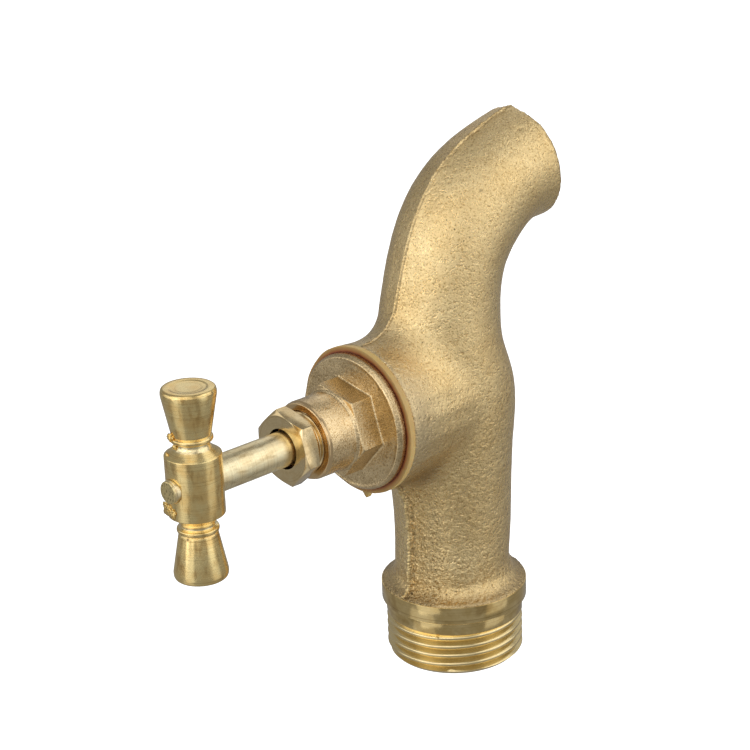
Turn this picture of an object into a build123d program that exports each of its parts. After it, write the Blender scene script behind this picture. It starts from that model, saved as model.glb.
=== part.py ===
from build123d import *
import math
import os

# A screw-down bib tap in brass, as it hangs on its wall: the inlet thread points along +Y into the
# wall, the spout runs out along -Y and turns down, and the valve with its tee handle stands up along
# +Z. The origin is on the inlet's axis, in the plane of the shoulder that stops against the wall.
# The tap is shut, so the seat washer lies on its seat. All sizes are in millimetres.

# Inlet: a one inch parallel pipe thread behind a turned shoulder.
inlet_thread_radius = 16.6245
inlet_thread_pitch = 2.309
inlet_thread_depth = 1.479
inlet_thread_length = 14.3
inlet_plain_band = 3.3
inlet_end_chamfer = 1.2
inlet_bore_radius = 10.5
shoulder_radius = 17.65
shoulder_band = 3.4
shoulder_chamfer = 0.3
cast_rim_radius = 17.8
cast_rim_width = 1.2
flare_length = 4.4

# Body casting: a pipe that swells into the valve chamber, then a spout that bends down. Distances
# along the body run from the shoulder or, past the chamber, from the valve's axis.
pipe_radius = 14.0
valve_distance = 54.1
chamber_radius = 16.0
chamber_rise = 0.8
swell_start = 17.0
swell_steps = 3
root_distance = 12.9
root_rise = 2.55
root_angle = 4.5
root_radius = 14.75
bend_distance = 25.9
bend_rise = 1.3
bend_start_angle = 10.0
bend_end_angle = 80.0
bend_radius = 28.0
bend_steps = 3
spout_radius = 13.7
mouth_radius = 13.3
spout_tail = 4.0
spout_overrun = 11.4
spout_wall = 3.0
top_ridge = 1.1
under_ridge = 0.5

# Boss that the bonnet screws into, and the water ways round the seat.
boss_height = 28.2
boss_radius = 17.4
boss_foot_radius = 15.4
boss_foot_height = 2.0
boss_blend = 10.0
bonnet_thread_radius = 13.0
bonnet_thread_pitch = 1.5
bonnet_thread_depth = 0.9
seat_bore_radius = 7.0
seat_land_width = 2.2
seat_height = 4.0
chamber_floor = 2.5
partition = 4.0
partition_wall = 3.4
upper_duct_step = 1.0

# Bonnet, with the gasket under its flange, its hexagon and its neck.
gasket_thickness = 1.5
gasket_overhang = 0.1
bonnet_flange_inset = 1.4
bonnet_flange_thickness = 2.1
bonnet_flange_chamfer = 0.6
bonnet_shank_length = 8.5
bonnet_hex_flats = 19.0
bonnet_hex_height = 6.0
bonnet_hex_turn = 48.3
neck_radius = 9.1
neck_length = 8.5
neck_chamfer = 0.5
guide_web = 2.5

# Packing gland. Its nut's threaded shank reaches down into the neck and presses on the packing.
gland_thread_radius = 7.0
gland_thread_pitch = 1.0
gland_thread_depth = 0.5
gland_shank_reach = 1.8
gland_ring_thickness = 1.0
packing_ring_thickness = 1.5
gland_gap = 2.1
gland_nut_thickness = 3.9
gland_nut_flats = 15.5
gland_nut_turn = 43.5
gland_nut_chamfer = 1.0

# Spindle, with its drive thread, the length that shows between the gland nut and the handle, and
# the riveted tenon that carries the handle.
spindle_radius = 4.0
drive_thread_radius = 6.0
drive_thread_pitch = 3.0
drive_thread_depth = 1.0
valve_travel = 6.0
travel_spare = 0.5
spindle_show = 18.3
spindle_sink = 1.7
tenon_radius = 2.4
tenon_head_radius = 2.6
tenon_head_chamfer = 0.3
tenon_stub = 1.2

# Jumper, which lifts with the spindle but doesn't turn, with its washer and the nut that holds it.
jumper_rim = 0.2
jumper_plate = 2.5
jumper_stem_radius = 3.0
jumper_stem_length = 12.0
jumper_stud_radius = 2.0
jumper_stud_end = 0.6
socket_spare = 0.5
washer_lap = 1.8
washer_thickness = 3.5
washer_nut_flats = 7.0
washer_nut_thickness = 2.4

# Tee handle, turned from one bar. The lengths follow one another from its middle to either end.
barrel_radius = 6.2
barrel_half_length = 6.9
barrel_taper = 1.4
collar_radius = 3.7
collar_length = 1.3
bead_radius = 4.65
bead_length = 1.6
cone_root_radius = 4.3
cone_end_radius = 6.05
cone_length = 10.6
cone_edge_radius = 1.0
end_dish_radius = 4.2
end_dish_depth = 0.25

# Each thread's crest and root are flat over this share of its pitch.
thread_flat_share = 1 / 6

# Clearances, on the radius.
thread_clearance = 0.1
running_clearance = 0.05
gland_nut_clearance = 0.7
press_clearance = 0.02

# Levels and places that follow from the sizes above.
valve_y = -valve_distance
valve_axis = Axis((0, valve_y, 0), (0, 0, 1))
valve_plane = Plane(origin=(0, valve_y, 0), x_dir=(1, 0, 0), z_dir=(0, -1, 0))
gasket_top = boss_height + gasket_thickness
flange_top = gasket_top + bonnet_flange_thickness
hex_top = flange_top + bonnet_hex_height
neck_top = hex_top + neck_length
shank_bottom = boss_height - bonnet_shank_length
gland_hex_bottom = neck_top + gland_gap
gland_nut_top = gland_hex_bottom + gland_nut_thickness

gland_shank_bottom = neck_top - gland_shank_reach
follower_bottom = gland_shank_bottom - gland_ring_thickness
packing_bottom = follower_bottom - 2 * packing_ring_thickness
packing_floor = packing_bottom - gland_ring_thickness
guide_bottom = packing_floor - guide_web
drive_thread_top = guide_bottom - valve_travel - travel_spare
plate_bottom = seat_height + washer_thickness
plate_top = plate_bottom + jumper_plate

handle_height = gland_nut_top + spindle_show + barrel_radius
barrel_seat = handle_height - barrel_radius + spindle_sink
barrel_top = handle_height + barrel_radius
collar_start = barrel_half_length + barrel_taper
bead_start = collar_start + collar_length
bead_end = bead_start + bead_length
handle_end = bead_end + cone_length

shank_radius = bonnet_thread_radius - thread_clearance
bonnet_flange_radius = boss_radius - bonnet_flange_inset
gasket_radius = boss_radius + gasket_overhang
seat_outer_radius = seat_bore_radius + seat_land_width
washer_radius = seat_bore_radius + washer_lap
jumper_radius = washer_radius + jumper_rim
drive_bore_radius = drive_thread_radius + running_clearance
guide_radius = spindle_radius + running_clearance
gland_nut_bore_radius = spindle_radius + gland_nut_clearance
packing_bore_radius = gland_thread_radius + thread_clearance
packing_radius = packing_bore_radius - thread_clearance
stud_hole_radius = jumper_stud_radius + running_clearance
stud_bottom = seat_height - washer_nut_thickness - jumper_stud_end
thread_end = inlet_thread_length
flare_start = -shoulder_band - cast_rim_width
pipe_start = flare_start - flare_length


def level(height):
    """The horizontal plane at a height, with its origin on the valve's axis."""
    return Plane(origin=(0, valve_y, height), x_dir=(1, 0, 0), z_dir=(0, 0, 1))


def section_plane(y, z, angle):
    """A plane across the body's centre line, which points down from -Y by the angle."""
    turn = math.radians(angle)
    return Plane(origin=(0, y, z), x_dir=(1, 0, 0), z_dir=(0, math.cos(turn), math.sin(turn)))


def ring_grooves(plane, radius, pitch, depth, start, end):
    """The grooves of an outside thread as closed rings, as many as fit from start to end."""
    flat = pitch * thread_flat_share
    half_mouth = (pitch - flat) / 2
    with BuildSketch(plane) as grooves:
        for i in range(int((end - start) / pitch)):
            middle = start + (i + 0.5) * pitch
            with BuildLine():
                Polyline(
                    (radius + depth, middle - half_mouth),
                    (radius, middle - half_mouth),
                    (radius - depth, middle - flat / 2),
                    (radius - depth, middle + flat / 2),
                    (radius, middle + half_mouth),
                    (radius + depth, middle + half_mouth),
                    close=True,
                )
            make_face()
    return grooves.sketch


def outline(plane, points):
    """A closed outline of straight lines, with the points in the plane's own directions."""
    with BuildSketch(plane) as shape:
        with BuildLine():
            Polyline(*points, close=True)
        make_face()
    return shape.sketch


def disc(plane, radius):
    """A circle on a plane's origin."""
    with BuildSketch(plane) as shape:
        Circle(radius)
    return shape.sketch


def hexagon(plane, flats, turn):
    """A hexagon by the distance over its flats, with a corner turned this far from +X."""
    with BuildSketch(plane) as shape:
        RegularPolygon(flats / 2, 6, major_radius=False, rotation=turn)
    return shape.sketch


def flat_ring(height, outer, inner, thickness):
    """A flat ring round the valve's axis, with its lower face at a height."""
    with BuildPart() as ring:
        with BuildSketch(level(height)):
            Circle(outer)
            Circle(inner, mode=Mode.SUBTRACT)
        extrude(amount=thickness)
    return ring.part


def ridged_circle(plane, radius):
    """A round section whose two mould halves meet in a raised line above and below."""
    above = math.acos(radius / (radius + top_ridge))
    below = math.acos(radius / (radius + under_ridge))
    top = (0, radius + top_ridge)
    bottom = (0, -radius - under_ridge)
    right = (radius * math.sin(above), radius * math.cos(above))
    left = (-right[0], right[1])
    low_right = (radius * math.sin(below), -radius * math.cos(below))
    low_left = (-low_right[0], low_right[1])
    with BuildSketch(plane) as section:
        with BuildLine():
            Line(top, right)
            ThreePointArc(right, (radius, 0), low_right)
            Line(low_right, bottom)
            Line(bottom, low_left)
            ThreePointArc(low_left, (-radius, 0), left)
            Line(left, top)
        make_face()
    return section.sketch


def ease(share):
    """A smooth rise from 0 to 1."""
    return (1 - math.cos(math.pi * share)) / 2


# The centre line's bend turns about one point in the symmetry plane.
start_turn = math.radians(bend_start_angle)
bend_start_y = valve_y - bend_distance
bend_y = bend_start_y + bend_radius * math.sin(start_turn)
bend_z = bend_rise - bend_radius * math.cos(start_turn)


def on_bend(angle):
    """The point of the bend where the centre line points down by the angle."""
    turn = math.radians(angle)
    return bend_y - bend_radius * math.sin(turn), bend_z + bend_radius * math.cos(turn)


def past_bend(distance):
    """The point of the centre line this far past the end of the bend."""
    y, z = on_bend(bend_end_angle)
    turn = math.radians(bend_end_angle)
    return y - distance * math.cos(turn), z - distance * math.sin(turn)


# Each station is the place, the downward angle and the radius of one section of the casting. The
# first lies inside the flare and the last lies past the mouth, where the casting is cut off.
stations = [(flare_start, 0, 0, pipe_radius)]
for i in range(swell_steps + 1):
    share = i / swell_steps
    y = -swell_start + share * (valve_y + swell_start)
    radius = pipe_radius + ease(share) * (chamber_radius - pipe_radius)
    stations.append((y, ease(share) * chamber_rise, 0, radius))
stations.append((valve_y - root_distance, root_rise, root_angle, root_radius))
for i in range(bend_steps + 1):
    share = i / bend_steps
    angle = bend_start_angle + share * (bend_end_angle - bend_start_angle)
    radius = spout_radius + share * (mouth_radius - spout_radius)
    stations.append((*on_bend(angle), angle, radius))
stations.append((*past_bend(spout_overrun), bend_end_angle, mouth_radius))

mouth_plane = section_plane(*past_bend(spout_tail), bend_end_angle)
spout_bore_radius = spout_radius - spout_wall
inlet_bore_end = valve_y + bonnet_thread_radius + partition_wall
lower_duct_top = chamber_floor - partition
lower_duct_end = valve_y - seat_bore_radius - partition_wall
spout_bore_lean = spout_bore_radius * math.tan(start_turn)
spout_bore_y = lower_duct_end - partition_wall - spout_bore_lean
upper_duct_end = spout_bore_y - spout_bore_lean - upper_duct_step
upper_duct_radius = spout_bore_radius - upper_duct_step
spout_bore_z = bend_rise + (spout_bore_y - bend_start_y) * math.tan(start_turn)
boss_stand = boss_height - chamber_radius - chamber_rise - top_ridge
blend_floor = chamber_radius / 2
blend_top = boss_height - gasket_thickness
duct_width = 2 * (max(inlet_bore_radius, spout_bore_radius) + spout_wall)

# Body: one casting, turned and threaded at its inlet, and bored for the bonnet.
with BuildPart() as body:
    loft([ridged_circle(section_plane(y, z, angle), r) for y, z, angle, r in stations])
    split(bisect_by=mouth_plane, keep=Keep.TOP)
    boss_points = [
        (0, boss_height),
        (boss_radius, boss_height),
        (boss_foot_radius, boss_foot_height),
        (0, boss_foot_height),
    ]
    revolve(outline(valve_plane, boss_points), axis=valve_axis)
    junction = body.edges(Select.NEW)
    upper_junction = junction.filter_by(lambda edge: blend_floor < edge.center().Z < blend_top)
    fillet(upper_junction, min(boss_blend, boss_stand))
    with BuildSketch(Plane.XY):
        with BuildLine():
            Polyline(
                (0, thread_end),
                (inlet_thread_radius - inlet_end_chamfer, thread_end),
                (inlet_thread_radius, thread_end - inlet_end_chamfer),
                (inlet_thread_radius, 0),
                (shoulder_radius - shoulder_chamfer, 0),
                (shoulder_radius, -shoulder_chamfer),
                (shoulder_radius, -shoulder_band),
                (cast_rim_radius, -shoulder_band),
                (cast_rim_radius, flare_start),
            )
            TangentArc((pipe_radius, pipe_start), (cast_rim_radius, flare_start), tangent=(0, 1))
            Polyline((pipe_radius, pipe_start), (0, pipe_start), (0, thread_end))
        make_face()
    revolve(axis=Axis.Y)
    inlet_grooves = ring_grooves(
        Plane.XY,
        inlet_thread_radius,
        inlet_thread_pitch,
        inlet_thread_depth,
        inlet_plain_band,
        thread_end - inlet_end_chamfer,
    )
    revolve(inlet_grooves, axis=Axis.Y, mode=Mode.SUBTRACT)
    # The way in: a round bore, then a flatter duct that runs below the seat.
    inlet_end = Plane(origin=(0, thread_end, 0), x_dir=(1, 0, 0), z_dir=(0, -1, 0))
    extrude(disc(inlet_end, inlet_bore_radius), amount=thread_end - inlet_bore_end, mode=Mode.SUBTRACT)
    duct_start = Plane(origin=(0, inlet_bore_end, 0), x_dir=(1, 0, 0), z_dir=(0, -1, 0))
    with BuildSketch(duct_start) as lower_duct:
        Circle(inlet_bore_radius)
        with Locations((0, lower_duct_top)):
            Rectangle(duct_width, duct_width, align=(Align.CENTER, Align.MIN), mode=Mode.SUBTRACT)
    extrude(lower_duct.sketch, amount=inlet_bore_end - lower_duct_end, mode=Mode.SUBTRACT)
    # The valve chamber, with a raised seat that the water comes up through.
    chamber_height = boss_height - chamber_floor
    extrude(disc(level(chamber_floor), bonnet_thread_radius), amount=chamber_height, mode=Mode.SUBTRACT)
    extrude(disc(level(chamber_floor), seat_outer_radius), amount=seat_height - chamber_floor)
    seat_drop = seat_height - lower_duct_top + partition_wall
    extrude(disc(level(seat_height), seat_bore_radius), amount=-seat_drop, mode=Mode.SUBTRACT)
    # The way out: a duct above the chamber's floor, then the round bore of the spout.
    duct_middle = Plane(origin=(0, valve_y, spout_bore_z), x_dir=(1, 0, 0), z_dir=(0, -1, 0))
    with BuildSketch(duct_middle) as upper_duct:
        Circle(upper_duct_radius)
        with Locations((0, chamber_floor - spout_bore_z)):
            Rectangle(duct_width, duct_width, align=(Align.CENTER, Align.MAX), mode=Mode.SUBTRACT)
    extrude(upper_duct.sketch, amount=valve_y - upper_duct_end, mode=Mode.SUBTRACT)
    with BuildLine() as spout_way:
        Line((0, spout_bore_y, spout_bore_z), (0, *on_bend(bend_start_angle)))
        ThreePointArc(
            (0, *on_bend(bend_start_angle)),
            (0, *on_bend((bend_start_angle + bend_end_angle) / 2)),
            (0, *on_bend(bend_end_angle)),
        )
        Line((0, *on_bend(bend_end_angle)), (0, *past_bend(spout_overrun)))
    spout_start = section_plane(spout_bore_y, spout_bore_z, bend_start_angle)
    sweep(disc(spout_start, spout_bore_radius), path=spout_way.wires()[0], mode=Mode.SUBTRACT)

# Bonnet gasket: a flat washer between the boss and the bonnet's flange.
with BuildPart() as bonnet_gasket:
    add(flat_ring(boss_height, gasket_radius, bonnet_thread_radius + running_clearance, gasket_thickness))

# Bonnet: a cast and turned plug that screws into the boss and guides the spindle.
with BuildPart() as bonnet:
    bonnet_points = [
        (0, shank_bottom),
        (shank_radius, shank_bottom),
        (shank_radius, gasket_top),
        (bonnet_flange_radius, gasket_top),
        (bonnet_flange_radius, flange_top - bonnet_flange_chamfer),
        (bonnet_flange_radius - bonnet_flange_chamfer, flange_top),
        (neck_radius, flange_top),
        (neck_radius, neck_top - neck_chamfer),
        (neck_radius - neck_chamfer, neck_top),
        (0, neck_top),
    ]
    revolve(outline(valve_plane, bonnet_points), axis=valve_axis)
    extrude(hexagon(level(flange_top), bonnet_hex_flats, bonnet_hex_turn), amount=bonnet_hex_height)
    bonnet_grooves = ring_grooves(
        valve_plane,
        shank_radius,
        bonnet_thread_pitch,
        bonnet_thread_depth,
        shank_bottom,
        boss_height,
    )
    revolve(bonnet_grooves, axis=valve_axis, mode=Mode.SUBTRACT)
    drive_length = guide_bottom - shank_bottom
    extrude(disc(level(shank_bottom), drive_bore_radius), amount=drive_length, mode=Mode.SUBTRACT)
    extrude(disc(level(guide_bottom), guide_radius), amount=guide_web, mode=Mode.SUBTRACT)
    packing_depth = neck_top - packing_floor
    extrude(disc(level(packing_floor), packing_bore_radius), amount=packing_depth, mode=Mode.SUBTRACT)

# Packing washer: a flat ring of brass on the floor of the packing's bore.
with BuildPart() as packing_washer:
    add(flat_ring(packing_floor, packing_radius, guide_radius, gland_ring_thickness))

# Packing rings: two soft rings that seal the spindle when the gland nut is tightened.
with BuildPart() as packing_ring_lower:
    add(flat_ring(packing_bottom, packing_radius, guide_radius, packing_ring_thickness))
with BuildPart() as packing_ring_upper:
    upper_ring_bottom = packing_bottom + packing_ring_thickness
    add(flat_ring(upper_ring_bottom, packing_radius, guide_radius, packing_ring_thickness))

# Gland follower: the ring that the gland nut presses down on the packing.
with BuildPart() as gland_follower:
    add(flat_ring(follower_bottom, packing_radius, guide_radius, gland_ring_thickness))

# Gland nut: a hexagon chamfered on both faces, above a short threaded shank.
with BuildPart() as gland_nut:
    extrude(hexagon(level(gland_hex_bottom), gland_nut_flats, gland_nut_turn), amount=gland_nut_thickness)
    chamfer_radius = gland_nut_flats / 2 / math.cos(math.pi / 6)
    nut_points = [
        (0, gland_hex_bottom),
        (chamfer_radius - gland_nut_chamfer, gland_hex_bottom),
        (chamfer_radius, gland_hex_bottom + gland_nut_chamfer / 2),
        (chamfer_radius, gland_nut_top - gland_nut_chamfer / 2),
        (chamfer_radius - gland_nut_chamfer, gland_nut_top),
        (0, gland_nut_top),
    ]
    revolve(outline(valve_plane, nut_points), axis=valve_axis, mode=Mode.INTERSECT)
    shank_length = gland_hex_bottom - gland_shank_bottom
    extrude(disc(level(gland_hex_bottom), gland_thread_radius), amount=-shank_length)
    gland_grooves = ring_grooves(
        valve_plane,
        gland_thread_radius,
        gland_thread_pitch,
        gland_thread_depth,
        gland_shank_bottom,
        gland_hex_bottom,
    )
    revolve(gland_grooves, axis=valve_axis, mode=Mode.SUBTRACT)
    nut_height = gland_nut_top - gland_shank_bottom
    nut_bore = disc(level(gland_shank_bottom), gland_nut_bore_radius)
    extrude(nut_bore, amount=nut_height, mode=Mode.SUBTRACT)

# Spindle: it turns in the bonnet's thread, holds the jumper's stem in a socket below, and ends in a
# tenon that is hammered over on top of the handle.
with BuildPart() as spindle:
    spindle_points = [
        (0, plate_top),
        (drive_thread_radius, plate_top),
        (drive_thread_radius, drive_thread_top),
        (spindle_radius, drive_thread_top),
        (spindle_radius, barrel_seat),
        (tenon_radius, barrel_seat),
        (tenon_radius, barrel_top),
        (tenon_head_radius, barrel_top),
        (tenon_head_radius, barrel_top + tenon_stub - tenon_head_chamfer),
        (tenon_head_radius - tenon_head_chamfer, barrel_top + tenon_stub),
        (0, barrel_top + tenon_stub),
    ]
    revolve(outline(valve_plane, spindle_points), axis=valve_axis)
    drive_grooves = ring_grooves(
        valve_plane,
        drive_thread_radius,
        drive_thread_pitch,
        drive_thread_depth,
        plate_top,
        drive_thread_top,
    )
    revolve(drive_grooves, axis=valve_axis, mode=Mode.SUBTRACT)
    socket = disc(level(plate_top), jumper_stem_radius + running_clearance)
    extrude(socket, amount=jumper_stem_length + socket_spare, mode=Mode.SUBTRACT)

# Tee handle: a barrel across the spindle with a collar, a bead and a cone on either side.
handle_plane = Plane(origin=(0, valve_y, handle_height), x_dir=(1, 0, 0), z_dir=(0, 0, 1))
handle_axis = Axis((0, valve_y, handle_height), (0, 1, 0))
with BuildPart() as tee_handle:
    with BuildSketch(handle_plane):
        with BuildLine():
            bead_middle = (bead_start + bead_end) / 2
            Polyline(
                (0, 0),
                (barrel_radius, 0),
                (barrel_radius, barrel_half_length),
                (collar_radius, collar_start),
                (collar_radius, bead_start),
            )
            ThreePointArc(
                (collar_radius, bead_start),
                (bead_radius, bead_middle),
                (cone_root_radius, bead_end),
            )
            Polyline(
                (cone_root_radius, bead_end),
                (cone_end_radius, handle_end - cone_edge_radius),
                (cone_end_radius - cone_edge_radius, handle_end),
                (end_dish_radius, handle_end),
                (0, handle_end - end_dish_depth),
                (0, 0),
            )
        make_face()
    revolve(axis=handle_axis)
    mirror(about=Plane(origin=(0, valve_y, handle_height), z_dir=(0, 1, 0)))
    counterbore = disc(level(handle_height - barrel_radius), spindle_radius + press_clearance)
    extrude(counterbore, amount=spindle_sink, mode=Mode.SUBTRACT)
    tenon_hole = disc(level(barrel_seat), tenon_radius + press_clearance)
    extrude(tenon_hole, amount=barrel_top - barrel_seat, mode=Mode.SUBTRACT)

# Jumper: the plate that carries the seat washer, with a stem up into the spindle and a stud below.
with BuildPart() as jumper:
    jumper_points = [
        (0, stud_bottom),
        (jumper_stud_radius, stud_bottom),
        (jumper_stud_radius, plate_bottom),
        (jumper_radius, plate_bottom),
        (jumper_radius, plate_top),
        (jumper_stem_radius, plate_top),
        (jumper_stem_radius, plate_top + jumper_stem_length),
        (0, plate_top + jumper_stem_length),
    ]
    revolve(outline(valve_plane, jumper_points), axis=valve_axis)

# Seat washer: the soft disc that shuts the tap.
with BuildPart() as seat_washer:
    add(flat_ring(seat_height, washer_radius, stud_hole_radius, washer_thickness))

# Washer nut: it holds the seat washer on the jumper's stud, inside the seat's bore.
with BuildPart() as washer_nut:
    extrude(hexagon(level(seat_height), washer_nut_flats, 0), amount=-washer_nut_thickness)
    stud_hole = disc(level(seat_height), stud_hole_radius)
    extrude(stud_hole, amount=-washer_nut_thickness, mode=Mode.SUBTRACT)

pieces = {
    "body": body,
    "bonnet_gasket": bonnet_gasket,
    "bonnet": bonnet,
    "packing_washer": packing_washer,
    "packing_ring_lower": packing_ring_lower,
    "packing_ring_upper": packing_ring_upper,
    "gland_follower": gland_follower,
    "gland_nut": gland_nut,
    "spindle": spindle,
    "tee_handle": tee_handle,
    "jumper": jumper,
    "seat_washer": seat_washer,
    "washer_nut": washer_nut,
}
os.makedirs("parts", exist_ok=True)
for name, piece in pieces.items():
    piece.part.label = name
    export_step(piece.part, f"parts/{name}.step")
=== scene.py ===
import math

import bmesh
import bpy
from mathutils import Matrix, Vector, noise
from mathutils.bvhtree import BVHTree


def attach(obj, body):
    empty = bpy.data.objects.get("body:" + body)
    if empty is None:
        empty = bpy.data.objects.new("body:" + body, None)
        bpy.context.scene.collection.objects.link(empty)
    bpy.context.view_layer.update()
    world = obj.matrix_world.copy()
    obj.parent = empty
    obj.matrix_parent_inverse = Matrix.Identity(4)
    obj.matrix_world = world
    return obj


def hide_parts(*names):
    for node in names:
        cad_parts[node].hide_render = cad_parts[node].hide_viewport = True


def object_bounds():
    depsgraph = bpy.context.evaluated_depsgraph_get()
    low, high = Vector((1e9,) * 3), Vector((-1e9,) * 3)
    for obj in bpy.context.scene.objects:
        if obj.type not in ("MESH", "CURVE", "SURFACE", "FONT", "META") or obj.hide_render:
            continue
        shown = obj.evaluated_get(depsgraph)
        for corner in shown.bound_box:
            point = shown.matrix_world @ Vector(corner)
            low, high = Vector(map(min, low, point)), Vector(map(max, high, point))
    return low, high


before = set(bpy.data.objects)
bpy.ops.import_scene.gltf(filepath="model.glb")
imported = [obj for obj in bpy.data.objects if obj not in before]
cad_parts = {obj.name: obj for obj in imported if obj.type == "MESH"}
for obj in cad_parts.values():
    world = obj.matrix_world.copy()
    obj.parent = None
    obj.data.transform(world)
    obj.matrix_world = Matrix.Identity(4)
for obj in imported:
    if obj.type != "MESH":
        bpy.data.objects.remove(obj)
cad_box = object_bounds()


# The stage: a pale floor well below the tap, a bright room and soft boxes, and a camera at the
# photograph's angle. The tap hangs as on its wall, with the inlet along +Y, and the camera is
# rolled so that the inlet points down in the picture, as the tap stands in the photograph.
look_at = Vector((0.0038, -0.0614, 0.0201))
camera_distance = 0.464
camera_lens = 97.02
camera_sensor = 36
azimuth = math.radians(-63.03)
elevation = math.radians(39.6)
roll = math.radians(-110.2)

view_back = Vector((
    math.sin(azimuth) * math.cos(elevation),
    -math.cos(azimuth) * math.cos(elevation),
    math.sin(elevation),
))
level_right = Vector((math.cos(azimuth), math.sin(azimuth), 0))
view_right = level_right * math.cos(roll) + view_back.cross(level_right) * math.sin(roll)
view_up = view_back.cross(view_right)

camera = bpy.data.objects.new("camera", bpy.data.cameras.new("camera"))
bpy.context.scene.collection.objects.link(camera)
camera.data.lens = camera_lens
camera.data.sensor_width = camera_sensor
camera.data.clip_start = 0.01
camera.data.clip_end = 60
camera.matrix_world = (
    Matrix.Translation(look_at + view_back * camera_distance)
    @ Matrix((view_right, view_up, view_back)).transposed().to_4x4()
)
bpy.context.scene.camera = camera
bpy.context.scene.view_settings.view_transform = "Standard"

room = bpy.data.worlds.new("room")
room.use_nodes = True
room.node_tree.nodes["Background"].inputs["Color"].default_value = (0.99, 1.0, 1.02, 1)
room.node_tree.nodes["Background"].inputs["Strength"].default_value = 0.28
bpy.context.scene.world = room


def soft_box(name, right, up, back, brightness, size=0.52, distance=0.85):
    """A square lamp that faces the tap from a direction given as the photograph shows it."""
    towards = Vector(view_right * right + view_up * up + view_back * back).normalized()
    data = bpy.data.lights.new(name, "AREA")
    data.size = size
    data.energy = brightness * math.pi * size**2
    data.color = (1.0, 1.0, 1.02)
    lamp = bpy.data.objects.new(name, data)
    lamp.matrix_world = (
        Matrix.Translation(look_at + towards * distance)
        @ towards.to_track_quat("Z", "Y").to_matrix().to_4x4()
    )
    lamp.visible_camera = False
    bpy.context.scene.collection.objects.link(lamp)


soft_box("key", -0.82, 0.0, 0.57, 1.05)
soft_box("key_above", -0.66, 0.48, 0.57, 0.6)
soft_box("key_front", -0.47, 0.0, 0.88, 0.9)
soft_box("front_above", -0.2, 0.41, 0.88, 0.5)
soft_box("front", 0.0, 0.0, 1.0, 0.6)
soft_box("front_right", 0.47, 0.1, 0.88, 0.35)
soft_box("fill", 0.82, 0.0, 0.57, 0.6)
soft_box("fill_above", 0.66, 0.48, 0.57, 0.85)
soft_box("top", -0.2, 0.78, 0.57, 0.5)
soft_box("side_right", 0.95, 0.31, 0.09, 0.85)
soft_box("side_top", 0.59, 0.81, 0.09, 0.75)
soft_box("side_left", -0.95, 0.15, 0.09, 0.65)
soft_box("left_low", -0.66, -0.48, 0.57, 0.45)
soft_box("low_left", -0.59, -0.81, 0.09, 0.25)
soft_box("low_right", 0.9, -0.35, 0.25, 0.3)
soft_box("back_top", 0.05, 0.78, -0.62, 0.5)
soft_box("back_right", 0.73, 0.42, -0.53, 0.22)

floor_height = -0.45
floor_shape = bmesh.new()
bmesh.ops.create_grid(floor_shape, x_segments=1, y_segments=1, size=20)
bmesh.ops.translate(floor_shape, verts=floor_shape.verts, vec=(0, 0, floor_height))
floor_mesh = bpy.data.meshes.new("floor")
floor_shape.to_mesh(floor_mesh)
floor_shape.free()
floor = bpy.data.objects.new("floor", floor_mesh)
bpy.context.scene.collection.objects.link(floor)
floor.visible_glossy = False
floor_paint = bpy.data.materials.new("floor_paint")
floor_paint.use_nodes = True
floor_shader = floor_paint.node_tree.nodes["Principled BSDF"]
floor_shader.inputs["Base Color"].default_value = (0.9, 0.9, 0.9, 1)
floor_shader.inputs["Roughness"].default_value = 0.9
floor_shader.inputs["Emission Color"].default_value = (1, 1, 1, 1)
floor_shader.inputs["Emission Strength"].default_value = 1.0
floor_mesh.materials.append(floor_paint)


# Body casting: the whole tap body but for its turned inlet. It is sand-cast brass, so its skin is
# grainy and a little wavy, and a raised line runs round it where the two halves of the mould met.
# The machined inlet is one metal with it, and is made in the next section.
mm = 0.001
valve_y = -54.1 * mm
boss_top = 28.2 * mm
shoulder_band = 3.4 * mm
skin_step = 0.71 * mm
skin_evenings = 3
skin_exactness = 0.8
seam_reach = 1.7 * mm
seam_cuts = 3
seam_height = 0.5 * mm
seam_half_width = 0.26 * mm
fin_height = 1.1 * mm
fin_half_width = 0.34 * mm
knob_height = 0.9 * mm
knob_size = 0.8 * mm
knob_strip = (-1.7 * mm, -0.2 * mm)
seam_wobble = 2.2 * mm
spout_starts = -105 * mm
mouth_clear = 1.5 * mm
mouth_angle = math.radians(80)
mouth_way = Vector((0, -math.cos(mouth_angle), -math.sin(mouth_angle)))
machined_clear = 0.7 * mm
rim_overlap = 1.4 * mm
rim_radius = 17.5 * mm
casting_waves = ((12 * mm, 0.14 * mm), (3.4 * mm, 0.05 * mm), (1.4 * mm, 0.03 * mm))
seam_sway = 0.15 * mm
pit_depth = 0.4 * mm
pit_radius = 0.55 * mm
pit_places = ((-16.8, -56.6, 23.2), (-10.0, -103.0, -1.7), (-7.1, -113.4, -18.0))
pits = [Vector(place) * mm for place in pit_places]


def merged_copy(node):
    """A node's shape with its loose triangles joined."""
    shape = bmesh.new()
    shape.from_mesh(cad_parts[node].data)
    bmesh.ops.remove_doubles(shape, verts=shape.verts, dist=0.001 * mm)
    return shape


def even_skin(shape, step):
    """The same solid under an even skin of small four-sided faces."""
    mesh = bpy.data.meshes.new("skin")
    shape.to_mesh(mesh)
    shape.free()
    carrier = bpy.data.objects.new("skin", mesh)
    bpy.context.scene.collection.objects.link(carrier)
    remesh = carrier.modifiers.new("remesh", "REMESH")
    remesh.mode = "VOXEL"
    remesh.voxel_size = step
    graph = bpy.context.evaluated_depsgraph_get()
    even = bpy.data.meshes.new_from_object(carrier.evaluated_get(graph))
    bpy.data.objects.remove(carrier)
    skin = bmesh.new()
    skin.from_mesh(even)
    return skin


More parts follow.
